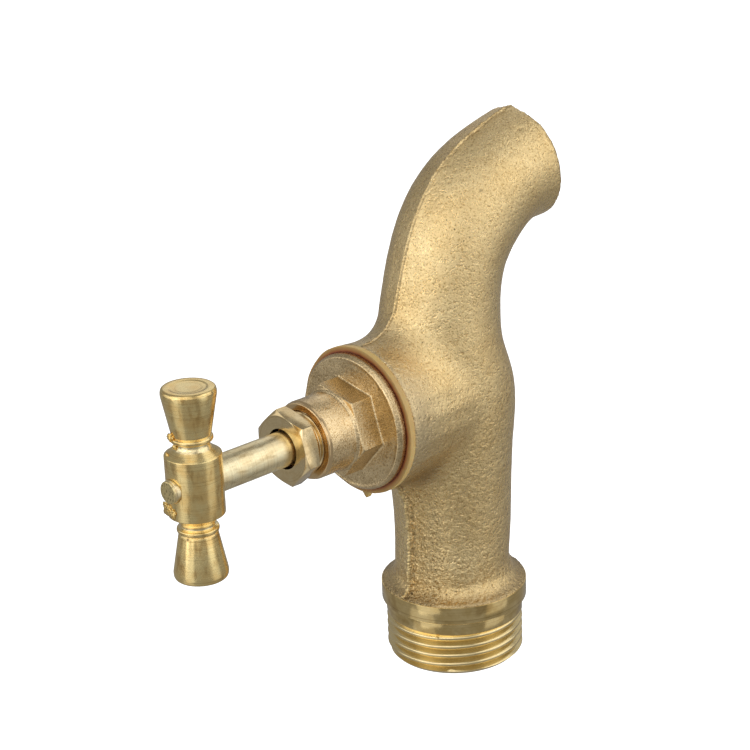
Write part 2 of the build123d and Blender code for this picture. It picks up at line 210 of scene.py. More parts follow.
def smoothed(shape, times):
    """Evens out a shape's surface, a number of times."""
    for _ in range(times):
        bmesh.ops.smooth_vert(
            shape, verts=shape.verts, factor=0.5, use_axis_x=True, use_axis_y=True, use_axis_z=True
        )
    shape.normal_update()


def finished(shape, name, body, node, material, sharp_angle=180):
    """Makes an object of a shape, and hands it to its body in place of a node."""
    mesh = bpy.data.meshes.new(name)
    shape.to_mesh(mesh)
    shape.free()
    mesh.shade_smooth()
    if sharp_angle < 180:
        mesh.set_sharp_from_angle(angle=math.radians(sharp_angle))
    mesh.materials.append(material)
    piece = bpy.data.objects.new(name, mesh)
    bpy.context.scene.collection.objects.link(piece)
    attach(piece, body)
    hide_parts(node)


class Finish:
    """A metal or plastic finish: a material whose nodes are added one by one."""

    def __init__(self, name):
        self.material = bpy.data.materials.new(name)
        self.material.use_nodes = True
        self.tree = self.material.node_tree
        self.shader = self.tree.nodes["Principled BSDF"]
        self.place = self.node("ShaderNodeTexCoord").outputs["Object"]

    def node(self, kind, **settings):
        made = self.tree.nodes.new(kind)
        for key, value in settings.items():
            setattr(made, key, value)
        return made

    def put(self, socket, value):
        """Gives a socket a number, a colour or another node's output."""
        if isinstance(value, (int, float)):
            socket.default_value = value
        elif isinstance(value, tuple):
            socket.default_value = (*value, 1)
        else:
            self.tree.links.new(value, socket)

    def math(self, operation, *values):
        made = self.node("ShaderNodeMath", operation=operation)
        for socket, value in zip(made.inputs, values):
            self.put(socket, value)
        return made.outputs["Value"]

    def product(self, *values):
        total = values[0]
        for value in values[1:]:
            total = self.math("MULTIPLY", total, value)
        return total

    def distance(self, source, place):
        """How far a number lies from a place, on either side."""
        return self.math("ABSOLUTE", self.math("SUBTRACT", source, place))

    def reach(self, first, second):
        """How far a point lies from an axis, by its two offsets."""
        squares = self.math("ADD", self.product(first, first), self.product(second, second))
        return self.math("SQRT", squares)

    def parts(self):
        """The place as its three numbers."""
        made = self.node("ShaderNodeSeparateXYZ")
        self.put(made.inputs["Vector"], self.place)
        return made.outputs["X"], made.outputs["Y"], made.outputs["Z"]

    def vector(self, *values):
        made = self.node("ShaderNodeCombineXYZ")
        for socket, value in zip(made.inputs, values):
            self.put(socket, value)
        return made.outputs["Vector"]

    def noise(self, size, detail=2.0, roughness=0.5, vector=None):
        """A cloudy pattern whose blots are about this many metres across."""
        made = self.node("ShaderNodeTexNoise")
        made.inputs["Scale"].default_value = 1 / size
        made.inputs["Detail"].default_value = detail
        made.inputs["Roughness"].default_value = roughness
        self.put(made.inputs["Vector"], vector or self.place)
        return made.outputs["Fac"]

    def spots(self, places, radius):
        """One at each of a few places, falling to nothing this far from them."""
        total = 0.0
        for place in places:
            made = self.node("ShaderNodeVectorMath", operation="DISTANCE")
            self.put(made.inputs[0], self.place)
            made.inputs[1].default_value = place
            near = self.span(made.outputs["Value"], radius * 0.3, radius, 1, 0)
            total = self.math("ADD", total, near)
        return total

    def cells(self, size):
        """Distance from the nearest of many scattered points about this many metres apart."""
        made = self.node("ShaderNodeTexVoronoi")
        made.inputs["Scale"].default_value = 1 / size
        self.put(made.inputs["Vector"], self.place)
        return made.outputs["Distance"]

    def ramp(self, source, *stops):
        """Turns a number into a colour by stops of position and colour."""
        made = self.node("ShaderNodeValToRGB")
        elements = made.color_ramp.elements
        while len(elements) < len(stops):
            elements.new(0.5)
        for element, (position, colour) in zip(elements, stops):
            element.position = position
            element.color = (*colour, 1)
        self.put(made.inputs["Fac"], source)
        return made.outputs["Color"]

    def span(self, source, from_low, from_high, low=0, high=1):
        """Stretches a number from one range to another, and keeps it within the second."""
        made = self.node("ShaderNodeMapRange")
        for socket, value in zip(made.inputs, (source, from_low, from_high, low, high)):
            self.put(socket, value)
        return made.outputs["Result"]

    def blend(self, share, first, second, kind="MIX"):
        made = self.node("ShaderNodeMix", data_type="RGBA", blend_type=kind)
        for index, value in ((0, share), (6, first), (7, second)):
            self.put(made.inputs[index], value)
        return made.outputs[2]

    def bump(self, *layers):
        """Raises the surface by each layer of height and depth, in metres."""
        normal = None
        for height, depth in layers:
            made = self.node("ShaderNodeBump")
            made.inputs["Strength"].default_value = 1.0
            made.inputs["Distance"].default_value = depth
            self.put(made.inputs["Height"], height)
            if normal:
                self.put(made.inputs["Normal"], normal)
            normal = made.outputs["Normal"]
        self.put(self.shader.inputs["Normal"], normal)

    def set(self, **sockets):
        for key, value in sockets.items():
            self.put(self.shader.inputs[key.replace("_", " ")], value)


casting = merged_copy("body")
cut = bmesh.ops.bisect_plane(
    casting,
    geom=casting.verts[:] + casting.edges[:] + casting.faces[:],
    plane_co=(0, -shoulder_band, 0),
    plane_no=(0, 1, 0),
    clear_outer=True,
)
cut_edges = [e for e in cut["geom_cut"] if isinstance(e, bmesh.types.BMEdge)]
bmesh.ops.bridge_loops(casting, edges=cut_edges)
bmesh.ops.recalc_face_normals(casting, faces=casting.faces)
exact_tree = BVHTree.FromBMesh(casting)
casting = even_skin(casting, skin_step)
smoothed(casting, skin_evenings)

skin_tree = BVHTree.FromBMesh(casting)
ray_lift = 0.05 * mm


def on_outer_skin(vert):
    """True where nothing of the casting lies in front of the surface."""
    return skin_tree.ray_cast(vert.co + vert.normal * ray_lift, vert.normal)[0] is None


seam_verts = {
    v
    for v in casting.verts
    if abs(v.co.x) < seam_reach
    and v.co.z < boss_top - machined_clear
    and v.co.y < -shoulder_band - machined_clear
    and on_outer_skin(v)
}
seam_edges = [e for e in casting.edges if e.verts[0] in seam_verts and e.verts[1] in seam_verts]
finer = bmesh.ops.subdivide_edges(casting, edges=seam_edges, cuts=seam_cuts, use_grid_fill=True)
for key in ("geom_inner", "geom_split"):
    seam_verts.update(v for v in finer[key] if isinstance(v, bmesh.types.BMVert))
for vert in casting.verts:
    exactness = 1 if vert.co.y < spout_starts else skin_exactness
    vert.co = vert.co.lerp(exact_tree.find_nearest(vert.co)[0], exactness)
casting.normal_update()
mouth_reach = max(v.co.dot(mouth_way) for v in casting.verts)

for vert in casting.verts:
    lift = sum(height * noise.noise(vert.co / size) for size, height in casting_waves)
    for pit in pits:
        lift -= pit_depth * math.exp(-((vert.co - pit).length_squared / pit_radius**2))
    if vert in seam_verts:
        along = Vector((0, vert.co.y, vert.co.z)) / seam_wobble
        ragged = 0.9 + 0.3 * noise.noise(along) + 0.3 * noise.noise(along * 4)
        side = vert.co.x + seam_sway * noise.noise(along * 0.7)
        height, half_width = seam_height, seam_half_width
        if vert.co.y > valve_y and vert.co.z > 0:
            height, half_width = fin_height, fin_half_width
            if knob_strip[0] < vert.co.x < knob_strip[1]:
                lift += knob_height * max(0, noise.noise(vert.co / knob_size))
        above_mouth = (mouth_reach - vert.co.dot(mouth_way)) / mouth_clear
        above_mouth = max(0, min(1, above_mouth - 0.5))
        lift += above_mouth * height * ragged * max(0, 1 - abs(side) / half_width / 2) ** 2
    vert.co += vert.normal * lift
    reach = Vector((vert.co.x, vert.co.z)).length
    if vert.co.y > -shoulder_band - rim_overlap and reach > rim_radius:
        vert.co.x *= rim_radius / reach
        vert.co.z *= rim_radius / reach
    vert.co = [max(low, min(high, c)) for low, c, high in zip(cad_box[0], vert.co, cad_box[1])]

body_brass = Finish("body_brass")
patches = body_brass.noise(9 * mm, 3)
grains = body_brass.noise(0.4 * mm, 2, 0.6)
lumps = body_brass.noise(1.1 * mm, 2)
pit_holes = body_brass.span(body_brass.cells(3.1 * mm), 0.03, 0.07, 1, 0)
body_x, body_y, body_z = body_brass.parts()
wrinkle_cloud = body_brass.noise(
    1.0 * mm, 3, 0.6, body_brass.vector(body_x, body_brass.product(body_y, 0.5), body_z)
)
wrinkles = body_brass.distance(wrinkle_cloud, 0.5)
on_top = body_brass.span(body_z, 0, 6 * mm)
wrinkled = body_brass.product(
    body_brass.span(body_y, -38 * mm, -34 * mm),
    body_brass.span(body_x, -10 * mm, -7 * mm),
    body_brass.span(body_x, 0, -1 * mm),
    on_top,
)
# Painted shade: a thin dark line beside the seam's ridge, on its shaded side, broken up by the
# lumps.
painted_seam_shade = body_brass.product(
    body_brass.span(body_brass.distance(body_x, -0.4 * mm), 0.05 * mm, 0.22 * mm, 1, 0),
    body_brass.span(lumps, 0.36, 0.46),
)
# Painted shade in the groove at the foot of the fin on the pipe, broken up by the lumps.
painted_fin_foot_shade = body_brass.product(
    body_brass.span(body_brass.distance(body_x, -1.15 * mm), 0.2 * mm, 0.7 * mm, 1, 0),
    body_brass.span(body_y, -38 * mm, -36 * mm),
    on_top,
    body_brass.span(lumps, 0.4, 0.56),
)
# Both painted shade lines together.
painted_shade_lines = body_brass.math("MAXIMUM", painted_seam_shade, painted_fin_foot_shade)
# A painted highlight: the fin's crest painted paler and more golden.
painted_fin_highlight = body_brass.product(
    body_brass.span(body_brass.distance(body_x, -0.1 * mm), 0.2 * mm, 0.4 * mm, 1, 0),
    body_brass.span(body_y, -38 * mm, -33 * mm),
    on_top,
)
flare_shade = body_brass.product(
    body_brass.span(body_y, -7.5 * mm, -5 * mm), body_brass.span(patches, 0.35, 0.55, 0.4, 1)
)
colour = body_brass.ramp(patches, (0.35, (0.92, 0.68, 0.325)), (0.65, (1.0, 0.77, 0.395)))
specks = body_brass.ramp(
    grains, (0.34, (0.6, 0.52, 0.4)), (0.45, (0.94, 0.92, 0.89)), (0.56, (1, 1, 1))
)
colour = body_brass.blend(1.0, colour, specks, "MULTIPLY")
# Painted shade on the boss just under the gasket, a greyer and darker brass.
painted_shade_under_gasket = body_brass.span(body_z, 17 * mm, 25 * mm)
# Painted shade on the boss's inlet side, in the corner between the boss and the pipe.
painted_shade_inlet_side = body_brass.product(
    body_brass.span(body_z, 12.5 * mm, 16 * mm),
    body_brass.span(body_y, -46 * mm, -40 * mm),
    body_brass.span(body_y, -37 * mm, -33 * mm, 1, 0),
)
# Marks mixed into the colour: painted shade under the gasket, on the inlet side, on the flare and
# along the seam and the fin's foot, a painted highlight on the fin's crest, and dark pits.
for mark, share, tint in (
    (painted_shade_under_gasket, 0.4, (0.62, 0.53, 0.36)),
    (painted_shade_inlet_side, 0.75, (0.4, 0.32, 0.2)),
    (flare_shade, 0.6, (0.34, 0.24, 0.12)),
    (painted_shade_lines, 0.55, (0.22, 0.14, 0.06)),
    (painted_fin_highlight, 0.5, (1.0, 0.78, 0.38)),
    (body_brass.spots(pits, pit_radius), 0.85, (0.1, 0.06, 0.02)),
    (pit_holes, 0.7, (0.08, 0.05, 0.02)),
):
    colour = body_brass.blend(body_brass.product(mark, share), colour, tint)
body_roughness = body_brass.span(lumps, 0.3, 0.7, 0.24, 0.34)
body_brass.set(Base_Color=colour, Metallic=1.0, Roughness=body_roughness)
lump_share = body_brass.span(body_y, -62 * mm, -40 * mm, 0.5, 1.25)
body_brass.bump(
    (body_brass.product(lumps, lump_share), 0.3 * mm),
    (grains, 0.22 * mm),
    (body_brass.product(wrinkles, wrinkled), 1.6 * mm),
    (body_brass.math("SUBTRACT", 1, pit_holes), 0.12 * mm),
)
finished(casting, "body_casting", "tap_body", "body", body_brass.material)


# Body inlet: the end of the same casting, turned and threaded in a lathe. A bright shoulder band
# stops against the wall, and behind it lie a plain band and the pipe thread, cut as one helix.
shoulder_radius = 17.65 * mm
inlet_crest = 16.6 * mm
inlet_root = 15.15 * mm
inlet_bore = 10.5 * mm
inlet_pitch = 2.309 * mm
inlet_band = 3.3 * mm
inlet_end = 14.3 * mm
inlet_chamfer = 1.2 * mm
burr_angle = math.radians(120)
burr_radius = 16.62 * mm
burr_depth = 4.1 * mm
burr_size = (0.5 * mm, 0.16 * mm, 0.3 * mm)


def turned(outline, steps=144, ring=False):
    """A shape turned about Z from points of radius, height and the softness of each corner."""
    shape = bmesh.new()
    verts = [shape.verts.new((radius, 0, height)) for radius, height, _ in outline]
    for pair in zip(verts, verts[1:] + (verts[:1] if ring else [])):
        shape.edges.new(pair)
    for vert, (_, _, softness) in zip(verts, outline):
        if softness:
            bmesh.ops.bevel(
                shape,
                geom=[vert],
                offset=softness,
                affect="VERTICES",
                segments=3,
                profile=0.5,
                material=-1,
            )
    bmesh.ops.spin(
        shape,
        geom=shape.verts[:] + shape.edges[:],
        cent=(0, 0, 0),
        axis=(0, 0, 1),
        dvec=(0, 0, 0),
        angle=2 * math.pi,
        steps=steps,
        use_merge=True,
    )
    bmesh.ops.remove_doubles(shape, verts=shape.verts, dist=0.0005 * mm)
    bmesh.ops.recalc_face_normals(shape, faces=shape.faces)
    return shape


def add_thread(shape, root, crest, pitch, start, end, steps=72):
    """Winds a screw thread's ridge round Z on to a core, and cuts it off level at both ends."""
    core = set(shape.verts)
    sunk = root - (crest - root) * 0.15
    first = start - pitch
    turns = math.ceil((end - start) / pitch) + 2
    corners = ((sunk, -0.5), (crest, -0.14), (crest, 0.14), (sunk, 0.5))
    ridge = [shape.verts.new((radius, 0, first + share * pitch)) for radius, share in corners]
    shape.faces.new(ridge)
    bmesh.ops.bevel(
        shape,
        geom=ridge[1:3],
        offset=pitch * 0.12,
        affect="VERTICES",
        segments=4,
        profile=0.5,
        material=-1,
    )
    bmesh.ops.spin(
        shape,
        geom=[f for f in shape.faces if not core.intersection(f.verts)],
        cent=(0, 0, 0),
        axis=(0, 0, 1),
        dvec=(0, 0, pitch / steps),
        angle=2 * math.pi * turns,
        steps=steps * turns,
    )
    for height, way in ((start, -1), (end, 1)):
        ridge = [v for v in shape.verts if v not in core]
        ridge_edges = {e for v in ridge for e in v.link_edges}
        ridge_faces = {f for v in ridge for f in v.link_faces}
        trim = bmesh.ops.bisect_plane(
            shape,
            geom=ridge + list(ridge_edges) + list(ridge_faces),
            plane_co=(0, 0, height),
            plane_no=(0, 0, way),
            clear_outer=True,
        )
        rim = [e for e in trim["geom_cut"] if isinstance(e, bmesh.types.BMEdge)]
        bmesh.ops.holes_fill(shape, edges=rim)
    bmesh.ops.recalc_face_normals(shape, faces=shape.faces)
    return [v for v in shape.verts if v not in core]


def lay_along_y(shape, height=0, centre_y=0):
    """Lays a shape turned about Z along Y instead."""
    quarter_turn = Matrix.Rotation(-math.pi / 2, 3, "X")
    bmesh.ops.rotate(shape, verts=shape.verts, cent=(0, 0, 0), matrix=quarter_turn)
    bmesh.ops.translate(shape, verts=shape.verts, vec=(0, centre_y, height))


def add_crumb(shape, place, size, seed):
    """A curled crumb of brass that a tool left, as a small rough lump."""
    for vert in bmesh.ops.create_icosphere(shape, subdivisions=3, radius=1)["verts"]:
        rough = 1 + 0.7 * noise.noise(vert.co * 1.6 + Vector((seed, 0, 0)))
        vert.co = Vector(place) + Vector([c * s for c, s in zip(vert.co, size)]) * rough


def turned_brass(
    name,
    light,
    dark,
    along_y,
    centre,
    lines=0.09,
    line_depth=0.012,
    rough=(0.16, 0.3),
    pits=(),
    worn_above=None,
    cut_past=None,
    painted_light_past=None,
):
    """Brass fresh from the lathe: fine rings round its axis, streaks along it and faint stains.

    It can have pits, a scarred end above a height, a rougher thread past a place on the axis, and
    collars painted paler, a painted light that lifts their shade, that start a distance from the
    valve's axis.
    """
    finish = Finish(name)
    x, y, z = finish.parts()
    across, along = (z, y) if along_y else (y, z)
    first = finish.math("SUBTRACT", x, centre[0])
    second = finish.math("SUBTRACT", across, centre[1])
    radius = finish.reach(first, second)
    round_first = finish.product(finish.math("DIVIDE", first, radius), 3 * mm)
    round_second = finish.product(finish.math("DIVIDE", second, radius), 3 * mm)
    rings = finish.noise(
        lines * mm, 3, 0.6, finish.vector(radius, along, finish.product(round_first, 0.01))
    )
    streaks = finish.noise(
        0.8 * mm, 2, 0.5, finish.vector(round_first, round_second, finish.product(along, 0.2))
    )
    scratches = finish.noise(0.35 * mm, 2, 0.7)
    stains = finish.noise(4 * mm, 3, 0.6)
    colour = finish.ramp(stains, (0.38, dark), (0.6, light))
    ring_tint = finish.ramp(rings, (0.34, (0.4, 0.32, 0.2)), (0.45, (1, 1, 1)))
    streak_tint = finish.ramp(streaks, (0.34, (0.5, 0.4, 0.26)), (0.48, (1, 1, 1)))
    skin = finish.node("ShaderNodeNewGeometry")
    facing = finish.node("ShaderNodeSeparateXYZ")
    finish.put(facing.inputs["Vector"], skin.outputs["Normal"])
    facing = finish.math("ABSOLUTE", facing.outputs["Y" if along_y else "Z"])
    colour = finish.blend(finish.span(facing, 0.5, 0.9, 0.5, 0.25), colour, ring_tint, "MULTIPLY")
    colour = finish.blend(finish.span(facing, 0.5, 0.9, 0.45, 0), colour, streak_tint, "MULTIPLY")
    if worn_above is not None:
        drawn_out = finish.vector(finish.product(x, 2.2), finish.product(y, 0.6), 0.0)
        scores = finish.span(finish.noise(0.5 * mm, 2, 0.6, drawn_out), 0.44, 0.36)
        worn = finish.span(z, worn_above, worn_above + 0.1 * mm)
        colour = finish.blend(finish.product(worn, 0.75), colour, (0.86, 0.68, 0.3))
        colour = finish.blend(finish.product(worn, scores), colour, (0.22, 0.15, 0.05))
    if pits:
        holes = finish.product(finish.spots(pits, 0.45 * mm), 0.9)
        colour = finish.blend(holes, colour, (0.12, 0.06, 0.02))
    roughness = finish.span(scratches, 0.3, 0.7, *rough)
    if cut_past is not None:
        torn = finish.span(along, cut_past, cut_past + 0.4 * mm)
        colour = finish.blend(finish.product(torn, 0.6), colour, (1.0, 0.83, 0.46))
        roughness = finish.math("ADD", roughness, finish.product(torn, 0.1))
    # Painted light: the collars between barrel and bead painted paler and creamier, lifting the
    # shade and orange of their grooves.
    if painted_light_past is not None:
        from_middle = finish.distance(along, valve_y)
        painted_light_collars = finish.product(
            finish.span(from_middle, painted_light_past, painted_light_past + 0.5 * mm),
            finish.span(from_middle, painted_light_past + 3.4 * mm, painted_light_past + 4.2 * mm, 1, 0),
            finish.span(radius, 4.4 * mm, 4.1 * mm),
        )
        colour = finish.blend(finish.product(painted_light_collars, 0.6), colour, (1.0, 0.88, 0.56))
    finish.set(Base_Color=colour, Metallic=1.0, Roughness=roughness)
    finish.bump((rings, line_depth * mm), (scratches, 0.004 * mm))
    return finish.material


inlet = turned(
    (
        (inlet_bore, -shoulder_band - 0.2 * mm, 0),
        (inlet_bore + 3 * mm, -shoulder_band - 0.2 * mm, 0),
        (inlet_bore + 3 * mm, -shoulder_band - 0.9 * mm, 0),
        (shoulder_radius, -shoulder_band - 0.9 * mm, 0.08 * mm),
        (shoulder_radius, 0, 0.12 * mm),
        (inlet_crest - 0.15 * mm, 0, 0.1 * mm),
        (inlet_crest - 0.15 * mm, 0.45 * mm, 0.05 * mm),
        (inlet_crest + 0.02 * mm, 0.6 * mm, 0.05 * mm),
        (inlet_crest + 0.02 * mm, inlet_band, 0.12 * mm),
        (inlet_root, inlet_band + 2.0 * mm, 0),
        (inlet_root, inlet_end, 0.25 * mm),
        (inlet_bore + 0.6 * mm, inlet_end, 0.1 * mm),
        (inlet_bore, inlet_end - 0.6 * mm, 0.1 * mm),
    ),
    steps=180,
    ring=True,
)
inlet_thread = add_thread(
    inlet, inlet_root, inlet_crest, inlet_pitch, inlet_band - 0.3 * mm, inlet_end - 0.02 * mm
)
for vert in inlet_thread:
    radius = Vector(vert.co[:2]).length
    limit = inlet_crest - max(0, vert.co.z - (inlet_end - inlet_chamfer))
    if radius > limit:
        vert.co.x *= limit / radius
        vert.co.y *= limit / radius
lay_along_y(inlet)
burr_place = (
    burr_radius * math.cos(burr_angle),
    burr_depth,
    burr_radius * math.sin(burr_angle),
)
add_crumb(inlet, burr_place, burr_size, 3)
inlet_brass = turned_brass(
    "inlet_brass",
    (0.88, 0.67, 0.31),
    (0.74, 0.53, 0.21),
    True,
    (0, 0),
    lines=0.15,
    line_depth=0.004,
    rough=(0.1, 0.17),
    cut_past=inlet_band,
)
finished(inlet, "body_inlet", "tap_body", "body", inlet_brass, 40)


# Bonnet gasket: a pale yellow plastic washer, cut by a worn punch, so its edge is uneven and one
# ragged tab is left on it. It is squeezed between the boss and the bonnet's flange.
gasket_top = 29.7 * mm
gasket_inner = 13.05 * mm
gasket_outer = 17.4 * mm
gasket_ripple = 0.16 * mm
tab_angle = math.radians(96)
tab_half_width = math.radians(2.6)
tab_length = 1.3 * mm


def on_valve_axis(shape):
    """Moves a shape turned about Z to the valve's own axis."""
    bmesh.ops.translate(shape, verts=shape.verts, vec=(0, valve_y, 0))
    return shape


gasket = turned(
    (
        (gasket_inner, boss_top, 0.1 * mm),
        (gasket_outer, boss_top, 0.15 * mm),
        (gasket_outer, gasket_top, 0.2 * mm),
        (gasket_inner, gasket_top, 0.1 * mm),
    ),
    steps=300,
    ring=True,
)
for vert in gasket.verts:
    radius = Vector(vert.co[:2]).length
    if radius > (gasket_inner + gasket_outer) / 2:
        angle = math.atan2(vert.co.y, vert.co.x)
        ripple = gasket_ripple * noise.noise(Vector((math.cos(angle), math.sin(angle), 0)) * 2.5)
        ripple += 0.05 * mm * noise.noise(vert.co / (1.1 * mm))
        ripple += tab_length * max(0, 1 - abs(angle - tab_angle) / tab_half_width) ** 0.5
        vert.co.x *= 1 + ripple / radius
        vert.co.y *= 1 + ripple / radius
on_valve_axis(gasket)

gasket_plastic = Finish("gasket_plastic")
gasket_x, gasket_y, _ = gasket_plastic.parts()
gasket_y = gasket_plastic.math("SUBTRACT", gasket_y, valve_y)
gasket_blots = gasket_plastic.noise(2.5 * mm, 2)
gasket_edge = gasket_plastic.math(
    "ADD", gasket_plastic.reach(gasket_x, gasket_y), gasket_plastic.product(gasket_blots, 0.5 * mm)
)
# The gasket's own cream colour at its outer edge, with a painted red-brown shade towards the
# bonnet's flange.
gasket_cream_and_painted_shade = gasket_plastic.ramp(
    gasket_plastic.span(gasket_edge, 16.3 * mm, 17.7 * mm),
    (0.0, (0.14, 0.03, 0.008)),
    (0.18, (0.30, 0.09, 0.022)),
    (0.48, (0.39, 0.2, 0.06)),
    (1.0, (0.45, 0.31, 0.105)),
)
gasket_plastic.set(
    Base_Color=gasket_cream_and_painted_shade,
    Roughness=0.42,
    Subsurface_Weight=0.35,
    Subsurface_Scale=0.6 * mm,
    Specular_IOR_Level=0.45,
)
gasket_plastic.shader.inputs["Subsurface Radius"].default_value = (1.0, 0.6, 0.25)
gasket_plastic.bump((gasket_blots, 0.05 * mm), (gasket_plastic.noise(0.4 * mm, 2), 0.02 * mm))
finished(gasket, "bonnet_gasket", "tap_body", "bonnet_gasket", gasket_plastic.material)


# Bonnet: a pinkish brass casting that screws into the boss and guides the spindle. Its hexagon and
# flange keep their cast skin, and the rim and the end of its neck are turned.
flange_radius = 16.0 * mm
flange_top = 31.8 * mm
bead_ring = 15.3 * mm
bonnet_hex_flats = 19.0 * mm
bonnet_hex_top = 37.8 * mm
bonnet_hex_turn = math.radians(48.3)
neck_radius = 9.1 * mm
neck_top = 46.3 * mm
neck_turned = 45.4 * mm
drive_bore = 6.05 * mm
guide_bottom = 37.0 * mm
guide_bore = 4.05 * mm
packing_floor = 39.5 * mm
packing_bore = 7.1 * mm
shank_bottom = 19.7 * mm
shank_crest = 12.85 * mm
shank_root = 12.0 * mm
shank_pitch = 1.5 * mm
bonnet_skin_step = 0.21 * mm
bonnet_exactness = 0.7
bonnet_waves = ((2.2 * mm, 0.05 * mm), (0.8 * mm, 0.02 * mm))


def hexagon_bar(flats, turn, bottom, top):
    """A length of hexagon bar along Z, with one corner at the angle given."""
    shape = bmesh.new()
    corner = flats / 2 / math.cos(math.pi / 6)
    lifted = Matrix.Translation((0, 0, (bottom + top) / 2))
    turn_and_lift = lifted @ Matrix.Rotation(turn - math.pi / 2, 4, "Z")
    bmesh.ops.create_cone(
        shape,
        cap_ends=True,
        segments=6,
        radius1=corner,
        radius2=corner,
        depth=top - bottom,
        matrix=turn_and_lift,
    )
    return shape


def joined(first, second):
    """Adds the second shape to the first."""
    mesh = bpy.data.meshes.new("joined")
    second.to_mesh(mesh)
    second.free()
    first.from_mesh(mesh)
    bpy.data.meshes.remove(mesh)
    return first


def carved(shape, tool, operation="DIFFERENCE"):
    """Cuts a tool's shape out of a shape, or keeps only what lies in both."""
    carriers = []
    for part in (shape, tool):
        mesh = bpy.data.meshes.new("carving")
        part.to_mesh(mesh)
        part.free()
        carriers.append(bpy.data.objects.new("carving", mesh))
        bpy.context.scene.collection.objects.link(carriers[-1])
    cutter = carriers[0].modifiers.new("carve", "BOOLEAN")
    cutter.operation = operation
    cutter.solver = "EXACT"
    cutter.object = carriers[1]
    graph = bpy.context.evaluated_depsgraph_get()
    result = bpy.data.meshes.new_from_object(carriers[0].evaluated_get(graph))
    for carrier in carriers:
        bpy.data.objects.remove(carrier)
    shape = bmesh.new()
    shape.from_mesh(result)
    return shape


bonnet = turned(
    (
        (drive_bore, gasket_top, 0),
        (flange_radius, gasket_top, 0.15 * mm),
        (flange_radius, flange_top - 0.75 * mm, 0.1 * mm),
        (bead_ring + 0.35 * mm, flange_top - 0.45 * mm, 0.1 * mm),
        (bead_ring, flange_top + 0.12 * mm, 0.2 * mm),
        (bead_ring - 0.7 * mm, flange_top - 0.1 * mm, 0.3 * mm),
        (neck_radius + 2.2 * mm, flange_top, 0.3 * mm),
        (neck_radius + 0.35 * mm, flange_top + 0.2 * mm, 0),
        (neck_radius + 0.35 * mm, bonnet_hex_top + 0.35 * mm, 0.08 * mm),
        (neck_radius, bonnet_hex_top + 0.4 * mm, 0.08 * mm),
        (neck_radius, neck_turned, 0.1 * mm),
        (neck_radius - 0.25 * mm, neck_turned + 0.4 * mm, 0.1 * mm),
        (neck_radius - 0.3 * mm, neck_top, 0.15 * mm),
        (packing_bore, neck_top, 0.15 * mm),
        (packing_bore, packing_floor, 0),
        (guide_bore, packing_floor, 0),
        (guide_bore, guide_bottom, 0),
        (drive_bore, guide_bottom, 0),
    ),
    ring=True,
)
bonnet_hex = hexagon_bar(bonnet_hex_flats, bonnet_hex_turn, flange_top - 0.8 * mm, bonnet_hex_top)
hex_outline = (
    (7.6 * mm, flange_top - 0.7 * mm, 0),
    (11.5 * mm, flange_top - 0.7 * mm, 0),
    (11.5 * mm, bonnet_hex_top - 0.5 * mm, 0),
    (10.4 * mm, bonnet_hex_top, 0),
    (7.6 * mm, bonnet_hex_top, 0),
)
bonnet_hex = carved(bonnet_hex, turned(hex_outline, ring=True), "INTERSECT")
bonnet = joined(bonnet, bonnet_hex)
bonnet_tree = BVHTree.FromBMesh(bonnet)
bonnet = even_skin(bonnet, bonnet_skin_step)
for vert in bonnet.verts:
    vert.co = vert.co.lerp(bonnet_tree.find_nearest(vert.co)[0], bonnet_exactness)
bonnet.normal_update()
for vert in bonnet.verts:
    radius = Vector(vert.co[:2]).length
    between_cuts = gasket_top + 0.2 * mm < vert.co.z < neck_turned - 0.2 * mm
    if between_cuts and radius > packing_bore + 0.5 * mm:
        lift = sum(height * noise.noise(vert.co / size) for size, height in bonnet_waves)
        vert.co += vert.normal * lift
on_valve_axis(bonnet)

bonnet_brass = Finish("bonnet_brass")
bonnet_x, bonnet_y, bonnet_z = bonnet_brass.parts()
bonnet_y = bonnet_brass.math("SUBTRACT", bonnet_y, valve_y)
bonnet_reach = bonnet_brass.reach(bonnet_x, bonnet_y)
bonnet_grains = bonnet_brass.noise(0.42 * mm, 3, 0.6)
bonnet_patches = bonnet_brass.noise(5 * mm, 3)
bonnet_rings = bonnet_brass.noise(
    0.12 * mm, 2, 0.5, bonnet_brass.vector(bonnet_reach, bonnet_z, 0.0)
)
turned_rim = bonnet_brass.span(bonnet_z, neck_turned - 0.1 * mm, neck_turned + 0.1 * mm)
cast_skin = bonnet_brass.math("SUBTRACT", 1, turned_rim)
cast_tone = bonnet_brass.ramp(
    bonnet_patches, (0.36, (0.76, 0.57, 0.31)), (0.64, (0.97, 0.75, 0.43))
)
grain_tone = bonnet_brass.ramp(
    bonnet_grains, (0.34, (0.6, 0.52, 0.4)), (0.46, (0.92, 0.9, 0.86)), (0.6, (1, 1, 1))
)
cast_tone = bonnet_brass.blend(1.0, cast_tone, grain_tone, "MULTIPLY")
on_hexagon = bonnet_brass.product(
    bonnet_brass.span(bonnet_z, flange_top + 0.3 * mm, flange_top + 0.6 * mm),
    bonnet_brass.span(bonnet_z, bonnet_hex_top - 0.3 * mm, bonnet_hex_top - 0.1 * mm, 1, 0),
    bonnet_brass.span(bonnet_reach, neck_radius + 0.3 * mm, neck_radius + 0.4 * mm),
)
flange_rim = bonnet_brass.span(bonnet_reach, 15.5 * mm, 15.8 * mm)
for mark, share, tint in (
    (on_hexagon, 0.6, (0.42, 0.31, 0.16)),
    (flange_rim, 0.55, (0.5, 0.36, 0.18)),
):
    cast_tone = bonnet_brass.blend(bonnet_brass.product(mark, share), cast_tone, tint)
cast_roughness = bonnet_brass.span(bonnet_grains, 0.3, 0.7, 0.2, 0.32)
